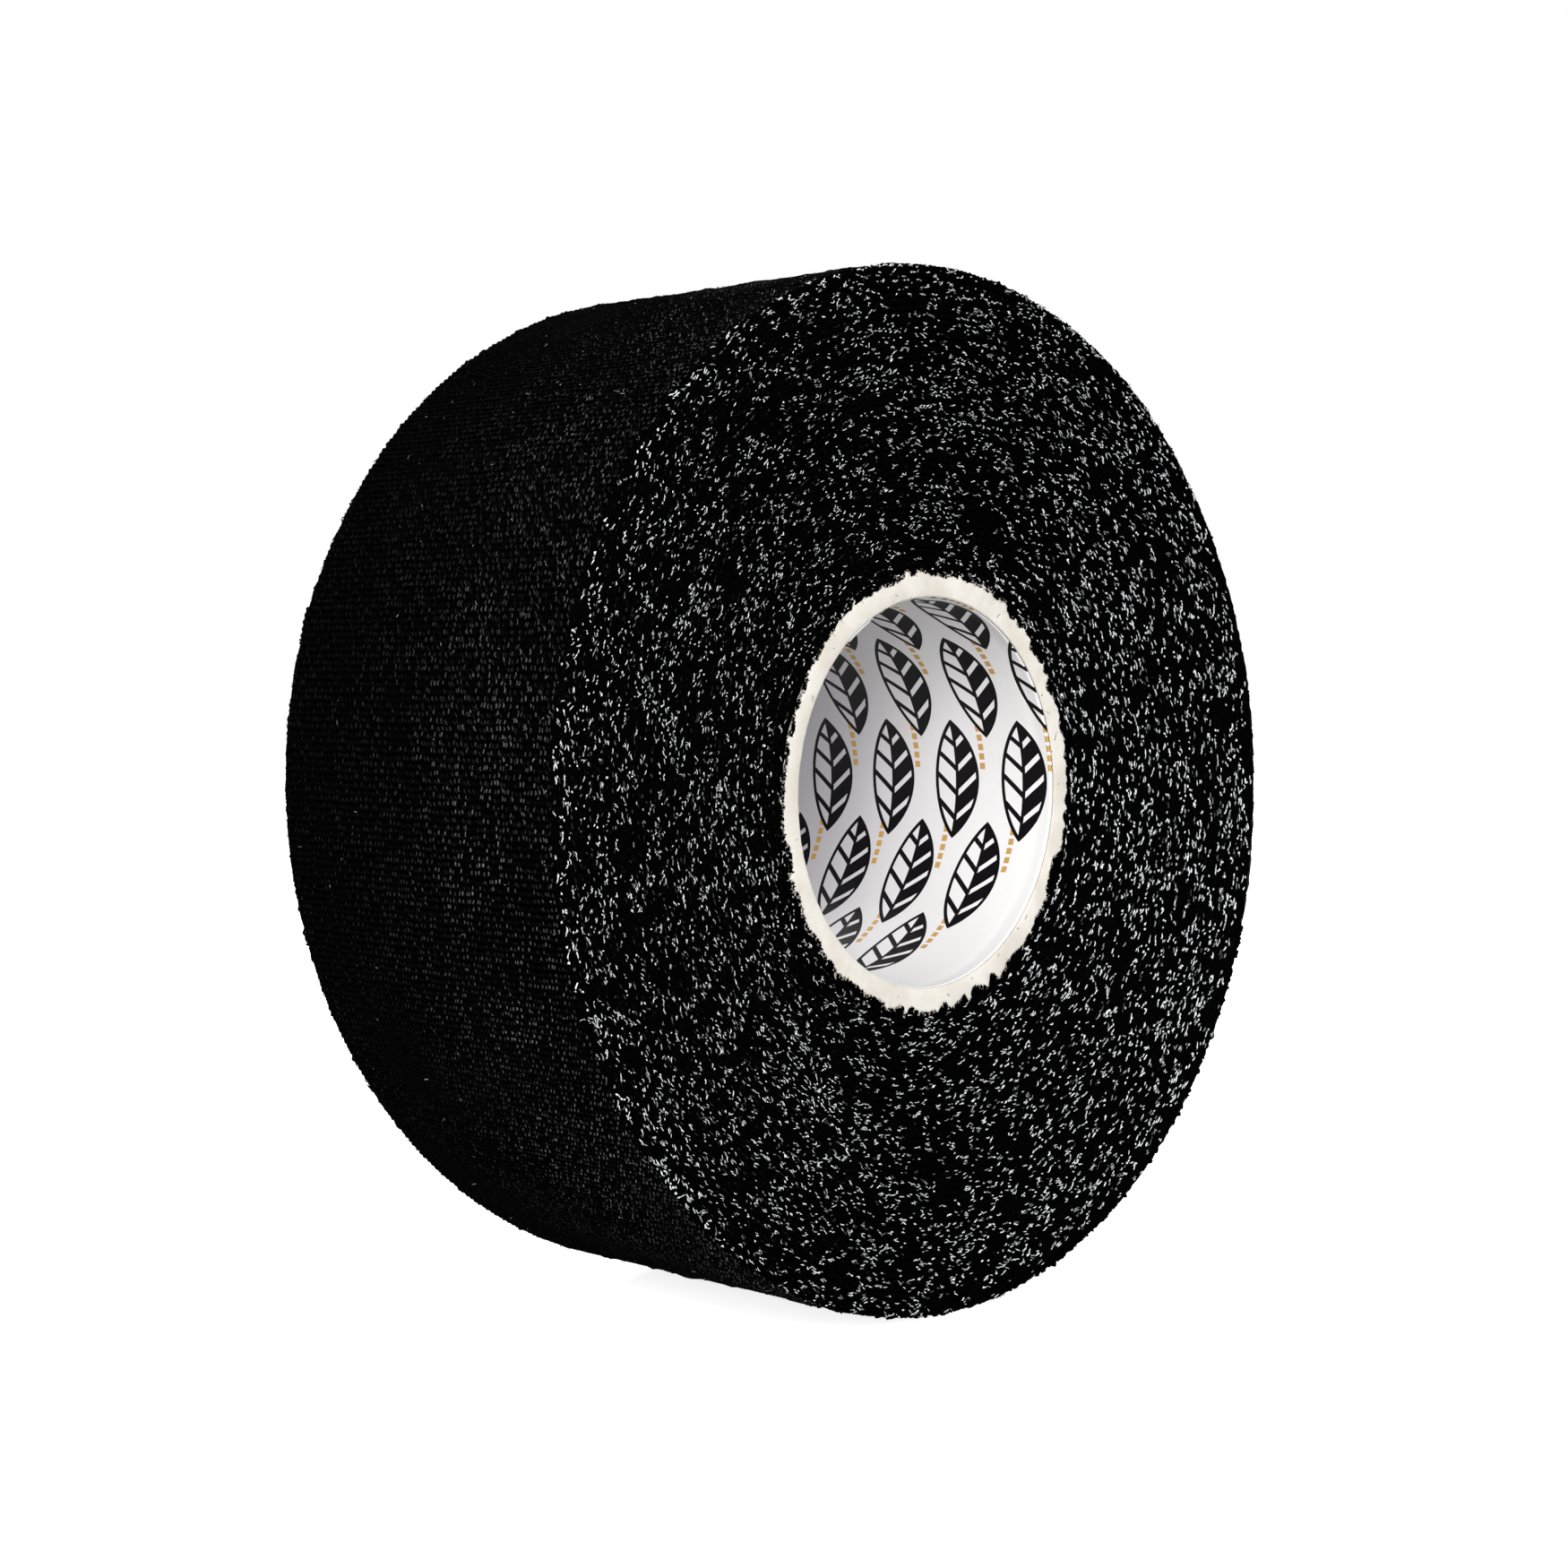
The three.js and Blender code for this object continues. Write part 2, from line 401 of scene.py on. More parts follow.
def yarn_ends(rng, run_from, run_to, side, least=0.12):
    """The pale cut yarn ends along one edge of the tape, in small bundles of beads and short curled threads.

    Towards the right rim only this least share of them is left. The second result is a number from 0 to 1 for
    each thread, low where it is bright.
    """
    run = np.arange(run_from, run_to, BUNDLE_PITCH)
    run = run + rng.uniform(-0.4, 0.4, len(run)) * BUNDLE_PITCH
    wound = wound_of(run)
    kept = rng.random(len(run)) < yarn_chance(FREE_END - wound, turn_radius(wound), side, least)
    run = run[kept]
    size = rng.integers(1, 4, len(run))
    depth = rng.uniform(0.15, 0.85, len(run))
    tone = rng.random(len(run))
    tilt = rng.normal(0, 0.4, len(run))
    run, depth, tone, tilt = (np.repeat(values, size) for values in (run, depth, tone, tilt))
    count = len(run)
    run = (run + rng.normal(0, 0.17, count) * MM).clip(run_from, run_to)
    depth = (depth + rng.normal(0, 0.28, count)).clip(-0.05, 1.05)
    tone = 0.45 * tone + 0.55 * rng.random(count)
    tilt = tilt + rng.normal(0, 0.35, count)
    wound = wound_of(run)
    theta, radius = FREE_END - wound, turn_radius(wound) - TAPE_THICKNESS * depth
    y = edge_y(radius, side) + fray(run, side) + side * rng.uniform(-0.01, 0.08, count) * MM
    middle = around(out_of_round(radius, theta), theta, y)
    right = to_lower_right(theta)
    tilt = tilt * (0.72 - 0.22 * right.clip(0))
    radial, tangent = directions(theta)
    along = tangent * np.cos(tilt)[:, None] + radial * np.sin(tilt)[:, None]
    lift = axial(np.full(count, float(side)))
    clumped = 0.45 * np.clip(1 - (ROLL_RADIUS - radius) / CLUMPED_RIM, 0, 1) * (right < -0.2)
    coarse = 0.87 + 0.17 * right + clumped
    bead = rng.random(count) < 0.42
    length = coarse * MM * np.where(bead, rng.uniform(0.13, 0.24, count), rng.uniform(0.26, 0.60, count))
    thick = coarse * MM * np.where(bead, rng.uniform(0.038, 0.070, count), rng.uniform(0.027, 0.046, count))
    curl = np.where(bead, 0.01, 0.05) * MM * rng.uniform(0.3, 1.6, count)
    return threads(rng, middle, along, lift, length, thick, curl, sink=0.045 * MM), tone


def edge_fluff(rng, run_from, run_to, count):
    """Black yarn loops that stand out along both edges of the last turn."""
    run = rng.uniform(run_from, run_to, count)
    wound = wound_of(run)
    theta = FREE_END - wound
    side = np.where(np.arange(count) % 2, 1.0, -1.0)
    radius = turn_radius(wound) - rng.uniform(-0.02, 0.3, count) * MM
    edge = np.where(side < 0, edge_y(radius, -1), edge_y(radius, 1))
    y = edge - side * rng.exponential(0.25, count).clip(0, 1.5) * MM
    middle = around(out_of_round(radius, theta), theta, y)
    radial, tangent = directions(theta)
    tilt = rng.normal(0, 0.7, count)
    along = tangent * np.cos(tilt)[:, None] + AXIS * np.sin(tilt)[:, None]
    lift = radial * 0.75 + axial(0.66 * side)
    return threads(
        rng, middle, along, lift,
        length=rng.uniform(0.25, 0.6, count) * MM,
        radius=rng.uniform(0.035, 0.08, count) * MM,
        curl=rng.uniform(0, 0.05, count) * MM,
        sink=0.1 * MM,
    )


MOST_KNOTS = -0.45                  # angle where the roll's rim is the roughest


def rim_knots(rng, run_from, run_to, count, spread=1.3):
    """Thicker black knots that roughen the roll's soft front and back shoulders, most at the lower right.

    A knot's place on the shoulder is an angle, from 0 on the outer side up to `spread`.
    """
    run = rng.uniform(run_from, run_to, count)
    theta = FREE_END - wound_of(run)
    kept = rng.random(count) < 0.15 + 0.85 * np.cos(theta - MOST_KNOTS)
    run, theta = run[kept], theta[kept]
    count = len(run)
    side = np.where(rng.random(count) < 0.7, -1.0, 1.0)
    slope = rng.uniform(0, spread, count)
    stand_off = rng.uniform(-0.03, 0.15, count) * MM
    radius = turn_radius(wound_of(run)) - SHOULDER * (1 - np.cos(slope)) + stand_off
    flush = np.where(side < 0, FRONT_Y, FRONT_Y + TAPE_WIDTH)
    middle = around(out_of_round(radius, theta), theta, flush - side * SHOULDER * (1 - np.sin(slope)))
    radial, tangent = directions(theta)
    lift = radial * np.cos(slope)[:, None] + axial(side * np.sin(slope))
    tilt = rng.normal(0, 0.6, count)[:, None]
    along = tangent * np.cos(tilt) + np.cross(lift, tangent) * np.sin(tilt)
    return threads(
        rng, middle, along, lift,
        length=rng.uniform(0.3, 0.75, count) * MM,
        radius=rng.uniform(0.08, 0.19, count) * MM,
        curl=rng.uniform(0, 0.05, count) * MM,
        sink=0.12 * MM,
    )


def side_lint(rng, run_from, run_to, count, reach=1.0):
    """Fine fibre ends that stand off the cloth's outer side. With a reach under 1 most are near its front."""
    run = rng.uniform(run_from, run_to, count)
    wound = wound_of(run)
    theta = FREE_END - wound
    radius = turn_radius(wound) + rng.uniform(0.0, 0.05, count) * MM
    share = 0.01 + 0.98 * rng.random(count) ** (1 / reach)
    y = edge_y(radius, -1) + share * (edge_y(radius, 1) - edge_y(radius, -1))
    middle = around(out_of_round(radius, theta), theta, y)
    radial, tangent = directions(theta)
    lean = rng.uniform(0, 2 * math.pi, count)[:, None]
    rise = rng.uniform(0.1, 0.9, count)[:, None]
    flat = tangent * np.cos(lean) + AXIS * np.sin(lean)
    along = radial * np.sin(rise) + flat * np.cos(rise)
    lift = radial * np.cos(rise) - flat * np.sin(rise)
    return threads(
        rng, middle, along, lift,
        length=rng.uniform(0.12, 0.45, count) * MM,
        radius=rng.uniform(0.01, 0.03, count) * MM,
        curl=rng.uniform(0, 0.06, count) * MM,
        sink=0.02 * MM,
    )


def end_fray(rng, count):
    """Threads pulled out of the tape's cut end."""
    theta = np.full(count, FREE_END)
    radius = ROLL_RADIUS - rng.uniform(0.02, 0.34, count) * MM
    y = FRONT_Y + rng.uniform(0.02, 0.98, count) * TAPE_WIDTH
    radial, tangent = directions(theta)
    tilt = rng.normal(0, 0.5, count)[:, None]
    along = tangent * np.cos(tilt) + AXIS * np.sin(tilt)
    length = rng.uniform(0.25, 0.9, count) * MM
    middle = around(out_of_round(radius, theta), theta, y) + tangent * (0.3 * length)[:, None]
    return threads(
        rng, middle, along, radial, length,
        radius=rng.uniform(0.02, 0.05, count) * MM,
        curl=rng.uniform(0.02, 0.1, count) * MM,
        sink=0.05 * MM,
    )


# Node materials


class Nodes:
    """A few short ways to wire a material's nodes. Sockets and plain numbers can both be given."""

    def __init__(self, name):
        self.material = bpy.data.materials.new(name)
        self.material.use_nodes = True
        self.tree = self.material.node_tree
        self.shader = self.tree.nodes["Principled BSDF"]

    def put(self, socket, value):
        if isinstance(value, bpy.types.NodeSocket):
            self.tree.links.new(value, socket)
        elif isinstance(value, tuple) and socket.type == "RGBA" and len(value) == 3:
            socket.default_value = (*value, 1)
        else:
            socket.default_value = value

    def node(self, kind, output=0, inputs=(), **settings):
        made = self.tree.nodes.new(kind)
        for key, value in settings.items():
            setattr(made, key, value)
        for key, value in dict(inputs).items():
            self.put(made.inputs[key], value)
        return made.outputs[output]

    def math(self, operation, a, b=0.0, c=0.0):
        return self.node("ShaderNodeMath", inputs={0: a, 1: b, 2: c}, operation=operation)

    def add(self, a, b):
        return self.math("ADD", a, b)

    def times(self, a, b):
        return self.math("MULTIPLY", a, b)

    def ramp(self, value, low, high, to_low=0.0, to_high=1.0):
        """Smoothly from to_low where value is low to to_high where it is high."""
        return self.node(
            "ShaderNodeMapRange",
            inputs={"Value": value, "From Min": low, "From Max": high, "To Min": to_low, "To Max": to_high},
            interpolation_type="SMOOTHSTEP",
        )

    def attribute(self, name):
        return self.split(self.node("ShaderNodeAttribute", output="Vector", attribute_name=name))

    def split(self, vector):
        made = self.tree.nodes.new("ShaderNodeSeparateXYZ")
        self.put(made.inputs[0], vector)
        return made.outputs[0], made.outputs[1], made.outputs[2]

    def join(self, x, y, z=0.0):
        return self.node("ShaderNodeCombineXYZ", inputs={0: x, 1: y, 2: z})

    def noise(self, vector, scale, detail=2.0):
        return self.node("ShaderNodeTexNoise", inputs={"Vector": vector, "Scale": scale, "Detail": detail})

    def mix(self, factor, a, b):
        """Colour a where the factor is 0, b where it is 1. A mix node's colour sockets are 6, 7 and 2."""
        made = self.tree.nodes.new("ShaderNodeMix")
        made.data_type = "RGBA"
        self.put(made.inputs[0], factor)
        self.put(made.inputs[6], a)
        self.put(made.inputs[7], b)
        return made.outputs[2]

    def position(self):
        """The place on the object in millimetres, before any pose."""
        place = self.node("ShaderNodeTexCoord", "Object")
        return self.node("ShaderNodeVectorMath", inputs={0: place, 3: 1 / MM}, operation="SCALE")

    def finish(self, colour, roughness, specular=0.5, height=None, depth=0.0):
        self.put(self.shader.inputs["Base Color"], colour)
        self.put(self.shader.inputs["Roughness"], roughness)
        self.put(self.shader.inputs["Specular IOR Level"], specular)
        if height is not None:
            bump = self.node("ShaderNodeBump", inputs={"Height": height, "Distance": depth, "Strength": 1.0})
            self.put(self.shader.inputs["Normal"], bump)
        return self.material


def stitches(n, run, y, half_length=0.42, slant=-0.45, disorder=0.6):
    """The knit of the cloth: a mask of slanted stitches, jittered on a grid, and a random number for each."""
    place = n.join(n.math("DIVIDE", run, RIB_PITCH / MM), n.math("DIVIDE", y, STITCH_PITCH / MM))
    cells = n.tree.nodes.new("ShaderNodeTexVoronoi")
    cells.voronoi_dimensions = "2D"
    n.put(cells.inputs["Vector"], place)
    n.put(cells.inputs["Scale"], 1.0)
    n.put(cells.inputs["Randomness"], disorder)
    ends = {0: place, 1: cells.outputs["Position"]}
    a, b, unused = n.split(n.node("ShaderNodeVectorMath", inputs=ends, operation="SUBTRACT"))
    random, other, unused = n.split(cells.outputs["Color"])
    b = n.math("MULTIPLY_ADD", a, slant, b)
    long = n.ramp(n.math("ABSOLUTE", a), n.times(half_length, 0.5), half_length, 1.0, 0.0)
    wide = n.ramp(n.math("ABSOLUTE", b), 0.06, n.math("MULTIPLY_ADD", other, 0.16, 0.16), 1.0, 0.0)
    return n.times(long, wide), random


# Millimetres from the tape's free end between which its looks change

ROWS_RUN = (110, 140)               # the knit's clear rows give way to loose slanted stitches
COAT_RUN = (40, 60)                 # the sticky side turns matt, and darker as painted shade between the wound turns


def cloth_material():
    """The tape's outer side: near-black knitted cloth, with dull grey highlights painted on its stitches."""
    n = Nodes("knitted_tape")
    run, y, unused = n.attribute("cloth")
    loose = n.ramp(run, *ROWS_RUN)
    bend = n.math("MULTIPLY_ADD", loose, 0.35, 0.08)
    run_bent = n.math("MULTIPLY_ADD", n.noise(n.join(run, y), 1.3, 1.0), bend, run)
    y_bent = n.math("MULTIPLY_ADD", n.noise(n.join(y, run, 7.0), 1.1, 1.0), 0.3, y)
    half_length = n.math("MULTIPLY_ADD", loose, 0.18, 0.24)
    slant = n.math("MULTIPLY_ADD", loose, -0.45, -0.15)
    disorder = n.math("MULTIPLY_ADD", loose, 0.35, 0.5)
    stitch, random = stitches(n, run_bent, y_bent, half_length, slant, disorder)
    # Painted highlights: the stitches' grey stands in for light they catch, in patches, and stronger where
    # the knit is in clear rows
    patches = n.ramp(n.noise(n.join(run, y, 3.0), 0.22, 3.0), 0.3, 0.72, 0.34, 1.0)
    light = n.times(n.times(stitch, n.math("POWER", random, 2.6)), patches)
    light = n.times(light, n.math("MULTIPLY_ADD", loose, -0.5, 1.4))
    rib = n.math("COSINE", n.times(run, 2 * math.pi * MM / RIB_PITCH))
    ground = n.mix(n.ramp(rib, -0.6, 1.0), (0.0004, 0.0004, 0.0004), (0.0012, 0.0012, 0.0012))
    # Painted shade: the stitches' painted highlights fade from the front edge towards the back edge
    edge = n.ramp(y, FRONT_Y / MM, (FRONT_Y + 0.85 * TAPE_WIDTH) / MM, 1.0, 0.08)
    colour = n.mix(n.times(light, edge), ground, (0.20, 0.197, 0.194))
    n.put(n.shader.inputs["Sheen Weight"], 0.005)
    n.put(n.shader.inputs["Sheen Roughness"], 0.4)
    return n.finish(colour, 0.9, 0.0, height=stitch, depth=0.03 * MM)


def cut_edge_material():
    """The tape's cut edges and loose black fibres, with the odd dim grey spot."""
    n = Nodes("black_yarn")
    speck = n.ramp(n.noise(n.position(), 5.0, 2.0), 0.62, 0.8)
    colour = n.mix(speck, (0.0007, 0.0007, 0.0008), (0.009, 0.0095, 0.01))
    return n.finish(colour, 0.9, 0.0)


def underside_material():
    """The sticky side: the same cloth under a thin dull coat of adhesive, matt where it is wound up, and
    darker there as painted shade between the turns.
    """
    n = Nodes("adhesive_side")
    run, y, unused = n.attribute("cloth")
    unwound_unshaded = n.ramp(run, *COAT_RUN, 1.0, 0.0)
    blotch = n.ramp(n.noise(n.join(run, y), 0.9, 4.0), 0.4, 0.7)
    stitch, unused = stitches(n, run, y)
    # Painted shade: where wound, the sticky side is darker, standing in for shade in the grooves between
    # turns
    colour = n.mix(n.times(blotch, unwound_unshaded), (0.0015, 0.0015, 0.0016), (0.005, 0.005, 0.0052))
    gloss = n.times(unwound_unshaded, 0.14)
    return n.finish(colour, 0.55, gloss, height=n.add(stitch, blotch), depth=0.02 * MM)


def yarn_material(name, tone):
    """One brightness of cut yarn, a touch cool and clouded along its length."""
    n = Nodes(name)
    cloud = n.ramp(n.noise(n.position(), 6.0, 2.0), 0.3, 0.7)
    colour = n.mix(cloud, (tone * 0.66, tone * 0.68, tone * 0.70), (tone, tone * 1.015, tone * 1.03))
    return n.finish(colour, 0.38, 0.7)


def core_material():
    """Ivory paperboard: faint fibre cloud and small dark specks."""
    n = Nodes("ivory_board")
    place = n.position()
    cloud = n.ramp(n.noise(place, 0.35, 4.0), 0.3, 0.7)
    warm = n.mix(cloud, (0.57, 0.53, 0.475), (0.665, 0.635, 0.585))
    fibres = n.ramp(n.noise(place, 5.0, 3.0), 0.3, 0.75, 0.9, 1.0)
    cells = n.node("ShaderNodeTexVoronoi", inputs={"Vector": place, "Scale": 1.1})
    specks = n.ramp(cells, 0.05, 0.09, 1.0, 0.0)
    some = n.ramp(n.noise(place, 0.9, 1.0), 0.52, 0.58)
    colour = n.mix(n.times(specks, some), warm, (0.12, 0.09, 0.06))
    colour = n.mix(n.math("SUBTRACT", 1.0, fibres), colour, (0.45, 0.41, 0.33))
    return n.finish(colour, 0.85, 0.15, height=n.noise(place, 6.0, 4.0), depth=0.03 * MM)


# The liner's print, in millimetres along the paper. Its rows follow one another around the bore, its columns
# inwards from the mouth.

PRINT_ROW = 7.1
PRINT_COLUMN = 5.87
PRINT_ROW_START = 0.34              # middle of one row, around the bore from +X
PRINT_COLUMN_START = 2.55           # middle of the first column, from the mouth
PRINT_SLANT = 2.0                   # how much deeper the print begins with each row down
LEAF_HALF_HEIGHT = 4.2
LEAF_HALF_WIDTH = 1.95
LEAF_OUTLINE = 0.27                 # width of the line round each leaf
MIDRIB_HALF_WIDTH = 0.13
VEIN_PITCH = 1.7
VEIN_SHARE = 0.26                   # the share of each pitch that the vein takes up
VEIN_SLOPE = -0.8
ABOVE_ZERO = 20.0                   # keeps a leaf's heights above zero
DASHES_UP = 2.3                     # middle of the row of dashes, from the leaf's middle
DASHES_OUT = 2.3
DASHES_HALF_LENGTH = 1.6            # of the whole row
DASH_HALF_WIDTH = 0.22
DASH_PITCH = 0.66
DASH_SHARE = 0.66                   # the share of each pitch that the dash takes up


def liner_material():
    """Coated white paper printed with a plain repeat: a two-tone leaf and a row of ochre dashes, and painted
    shade that greys the paper deeper in the bore.
    """
    n = Nodes("printed_paper")
    along, deep, unused = n.attribute("paper")
    rows = n.math("DIVIDE", n.math("SUBTRACT", along, PRINT_ROW_START), PRINT_ROW)
    ink = dashes = 0.0
    for parity in (0, 1):
        row = n.times(n.math("ROUND", n.times(n.math("SUBTRACT", rows, parity), 0.5)), 2.0)
        up = n.times(n.math("SUBTRACT", rows, n.add(row, parity)), PRINT_ROW)
        columns = n.math("DIVIDE", n.math("SUBTRACT", deep, PRINT_COLUMN_START), PRINT_COLUMN)
        columns = n.math("SUBTRACT", columns, 0.5 * parity)
        column = n.math("ROUND", columns)
        out = n.times(n.math("SUBTRACT", column, columns), PRINT_COLUMN)
        from_mouth = n.math("MULTIPLY_ADD", n.add(column, 0.5 * parity), PRINT_COLUMN, PRINT_COLUMN_START)
        margin = n.times(n.add(row, parity), -PRINT_SLANT)
        printed = n.math("GREATER_THAN", from_mouth, margin)
        ink = n.math("MAXIMUM", ink, n.times(printed, leaf(n, up, out)))
        dashes = n.math("MAXIMUM", dashes, n.times(printed, dash_row(n, up, out)))
    place = n.join(along, deep)
    # Painted shade: the paper greys from near the mouth to deep in the bore
    paper = n.mix(n.ramp(deep, 2.0, 24.0), (0.80, 0.79, 0.79), (0.48, 0.46, 0.49))
    colour = n.mix(n.times(dashes, 0.92), paper, (0.50, 0.27, 0.03))
    colour = n.mix(ink, colour, (0.004, 0.0035, 0.0045))
    gloss = n.math("MULTIPLY_ADD", ink, -0.14, 0.20)
    return n.finish(colour, 0.45, gloss, height=n.noise(place, 1.2, 3.0), depth=0.02 * MM)


def leaf(n, up, out):
    """A pointed oval with an outline: one half dark with pale veins, the other pale with dark veins."""
    arc = (LEAF_HALF_HEIGHT ** 2 + LEAF_HALF_WIDTH ** 2) / (2 * LEAF_HALF_WIDTH)
    shift = arc - LEAF_HALF_WIDTH

    def from_centre(offset):
        across = n.math("POWER", n.add(out, offset), 2.0)
        return n.math("SQRT", n.math("MULTIPLY_ADD", up, up, across))

    distance = n.math("SUBTRACT", n.math("MAXIMUM", from_centre(shift), from_centre(-shift)), arc)
    inside = n.math("LESS_THAN", distance, 0.0)
    outline = n.math("GREATER_THAN", distance, -LEAF_OUTLINE)
    from_midrib = n.math("ABSOLUTE", out)
    slanted = n.math("MULTIPLY_ADD", from_midrib, VEIN_SLOPE, n.add(up, ABOVE_ZERO))
    veins = n.math("LESS_THAN", n.math("FRACT", n.math("DIVIDE", slanted, VEIN_PITCH)), VEIN_SHARE)
    dark_half = n.math("GREATER_THAN", out, 0.0)
    half = n.math("ABSOLUTE", n.math("SUBTRACT", dark_half, veins))
    midrib = n.math("LESS_THAN", from_midrib, MIDRIB_HALF_WIDTH)
    inked = n.math("MAXIMUM", outline, n.math("MAXIMUM", half, midrib))
    return n.times(inside, inked)


def dash_row(n, up, out):
    """Five plain dashes in a row beside the leaf's upper part."""
    along = n.math("SUBTRACT", up, DASHES_UP)
    narrow = n.math("LESS_THAN", n.math("ABSOLUTE", n.math("SUBTRACT", out, DASHES_OUT)), DASH_HALF_WIDTH)
    stretch = n.math("LESS_THAN", n.math("ABSOLUTE", along), DASHES_HALF_LENGTH)
    part = n.math("FRACT", n.math("DIVIDE", n.add(along, DASHES_HALF_LENGTH), DASH_PITCH))
    each = n.math("LESS_THAN", part, DASH_SHARE)
    return n.times(narrow, n.times(stretch, each))


TAPE_MATERIALS = [cloth_material(), cut_edge_material(), underside_material()]
BLACK_YARN = TAPE_MATERIALS[CUT_EDGE]
# Each brightness of cut yarn: it takes the threads whose number is below the first value, and is this pale
YARN_TONES = {"bright": (0.44, 0.97), "clear": (0.63, 0.74), "middling": (0.81, 0.28), "dim": (1.0, 0.03)}
YARN_MATERIALS = {name: yarn_material(f"{name}_yarn", pale) for name, (top, pale) in YARN_TONES.items()}
BOARD = core_material()


# The core and its liner


def torn_edge(theta):
    """Radius of the core's ragged outer edge at its two ends: sharp teeth between rounded bites."""
    strength = 0.50 + 0.32 * ring_noise(theta, 31, salt=50)
    bites = strength * (0.36 - np.abs(ring_noise(theta, 84, salt=51)))
    fine = 0.07 * ring_noise(theta, 400, salt=52)
    slow = 0.115 + 0.04 * np.sin(theta) - 0.09 * np.cos(theta) - 0.145 * np.cos(2 * theta)
    slow = slow + 0.08 * ring_noise(theta, 9, salt=53)
    return CORE_RADIUS + (1.1 * bites + fine + slow) * MM


CORE_LIP = 0.24 * MM                # how far the board's front rim leans into the bore


def core_tube():
    """The paperboard tube: soft rims, and at each end an outer edge torn where the cut dragged the board.

    The rows run from the bore round the outside to the bore again: each a radius and a depth from its end, in
    millimetres.
    """
    steps = 1800
    theta = np.linspace(0, 2 * math.pi, steps, endpoint=False)[:, None]
    front, back = core_low.y, core_high.y
    bore, outside, torn = CORE_BORE_RADIUS, CORE_RADIUS, torn_edge(theta)
    lip = bore - CORE_LIP
    mouth = [(bore, 0.2), (lip, 0.13), (lip + 0.03 * MM, 0.04), (lip + 0.14 * MM, 0.0)]
    ragged = [(outside - 0.75 * MM, 0.0), (torn - 0.16 * MM, -0.06), (torn, -0.02), (torn - 0.05 * MM, 0.07),
              (outside - 0.06 * MM, 0.2), (outside, 0.4)]
    far_mouth = [(bore + 0.14 * MM, 0.0), (bore, 0.12)]
    rows = [(reach, front + depth * MM) for reach, depth in mouth + ragged]
    rows += [(reach, back - depth * MM) for reach, depth in ragged[::-1] + far_mouth]
    radius = np.hstack([reach + 0 * theta for reach, level in rows])
    rough = [0.018 * MM * ring_noise(theta, 180, salt=54 + k) for k in range(len(rows))]
    y = np.hstack([level + offset for (reach, level), offset in zip(rows, rough)])
    points = around(radius, theta, y).reshape(-1, 3)
    faces = [block[:, ::-1] for block in ring_faces(steps, len(rows), closed=True)]
    return mesh_object("core_board_tube", points, faces, [BOARD])


def core_end(out):
    """Where the core ends: at the front where out is -1, at the back where it is 1."""
    return np.where(out < 0, core_low.y, core_high.y)


def paper_fuzz(rng):
    """Torn paper fibres that stand out round the core's two ends."""
    count = 2600
    theta = rng.uniform(0, 2 * math.pi, count)
    out = np.where(rng.random(count) < 0.6, -1.0, 1.0)
    y = core_end(out) - out * rng.uniform(-0.07, 0.08, count) * MM
    middle = around(torn_edge(theta) + rng.normal(-0.02, 0.09, count) * MM, theta, y)
    radial, tangent = directions(theta)
    tilt = rng.normal(0, 0.9, count)[:, None]
    along = radial * np.cos(tilt) + tangent * np.sin(tilt)
    lift = axial(out)
    fibres = threads(
        rng, middle, along, lift,
        length=rng.uniform(0.15, 0.42, count) * MM,
        radius=rng.uniform(0.014, 0.034, count) * MM,
        curl=rng.uniform(0.02, 0.09, count) * MM,
        sink=0.03 * MM,
    )
    return thread_object("core_paper_fuzz", fibres, BOARD)


def core_liner():
    """The printed paper, rolled to a sleeve that laps over itself, its mouth pressed a little outward."""
    thickness = 0.14 * MM
    lap = math.radians(9)
    lift_over = math.radians(5)
    steps = 360
    start = math.radians(-240)      # the seam, where the photograph can't show it
    turn = np.linspace(0, 2 * math.pi + lap, steps + 1)[:, None]
    theta = start + turn
    over = thickness * 1.1 * np.clip((turn - 2 * math.pi + lift_over) / lift_over, 0, 1)
    front, back = liner_low.y, liner_high.y
    depths = np.array([0, 0.25, 0.7, 1.1, 1.35, 1.6, 3, 6, 10, 15, 20, 23.4, 24.2]) * MM
    flare = np.array([0.0, 0.02, 0.03, 0.055, 0.02, 0.0, 0, 0, 0, 0, 0, 0, -0.06]) * MM
    y = np.append(front + depths, back)
    inner = np.append(LINER_RADIUS - 0.22 * MM + flare, LINER_RADIUS - 0.1 * MM)
    ripple = 0.02 * MM * noise(turn * LINER_RADIUS / (5 * MM), y[None] / (6 * MM), salt=71)
    inner_radius = np.minimum(inner[None] - over + ripple, LINER_RADIUS - over - 0.02 * MM)
    outer_radius = np.minimum(inner_radius + thickness, LINER_RADIUS + 0.04 * MM)
    radius = np.hstack([inner_radius, outer_radius[:, ::-1]])
    y_all = np.broadcast_to(np.append(y, y[::-1]), radius.shape)
    points = around(radius, theta, y_all).reshape(-1, 3)
    place = np.stack([theta * (LINER_RADIUS - 0.2 * MM) + 0 * y_all, y_all - core_low.y, 0 * y_all], -1) / MM
    faces = ring_faces(steps + 1, radius.shape[1])
    return mesh_object("printed_liner_sleeve", points, faces, [liner_material()],
                       attributes={"paper": place.reshape(-1, 3)})


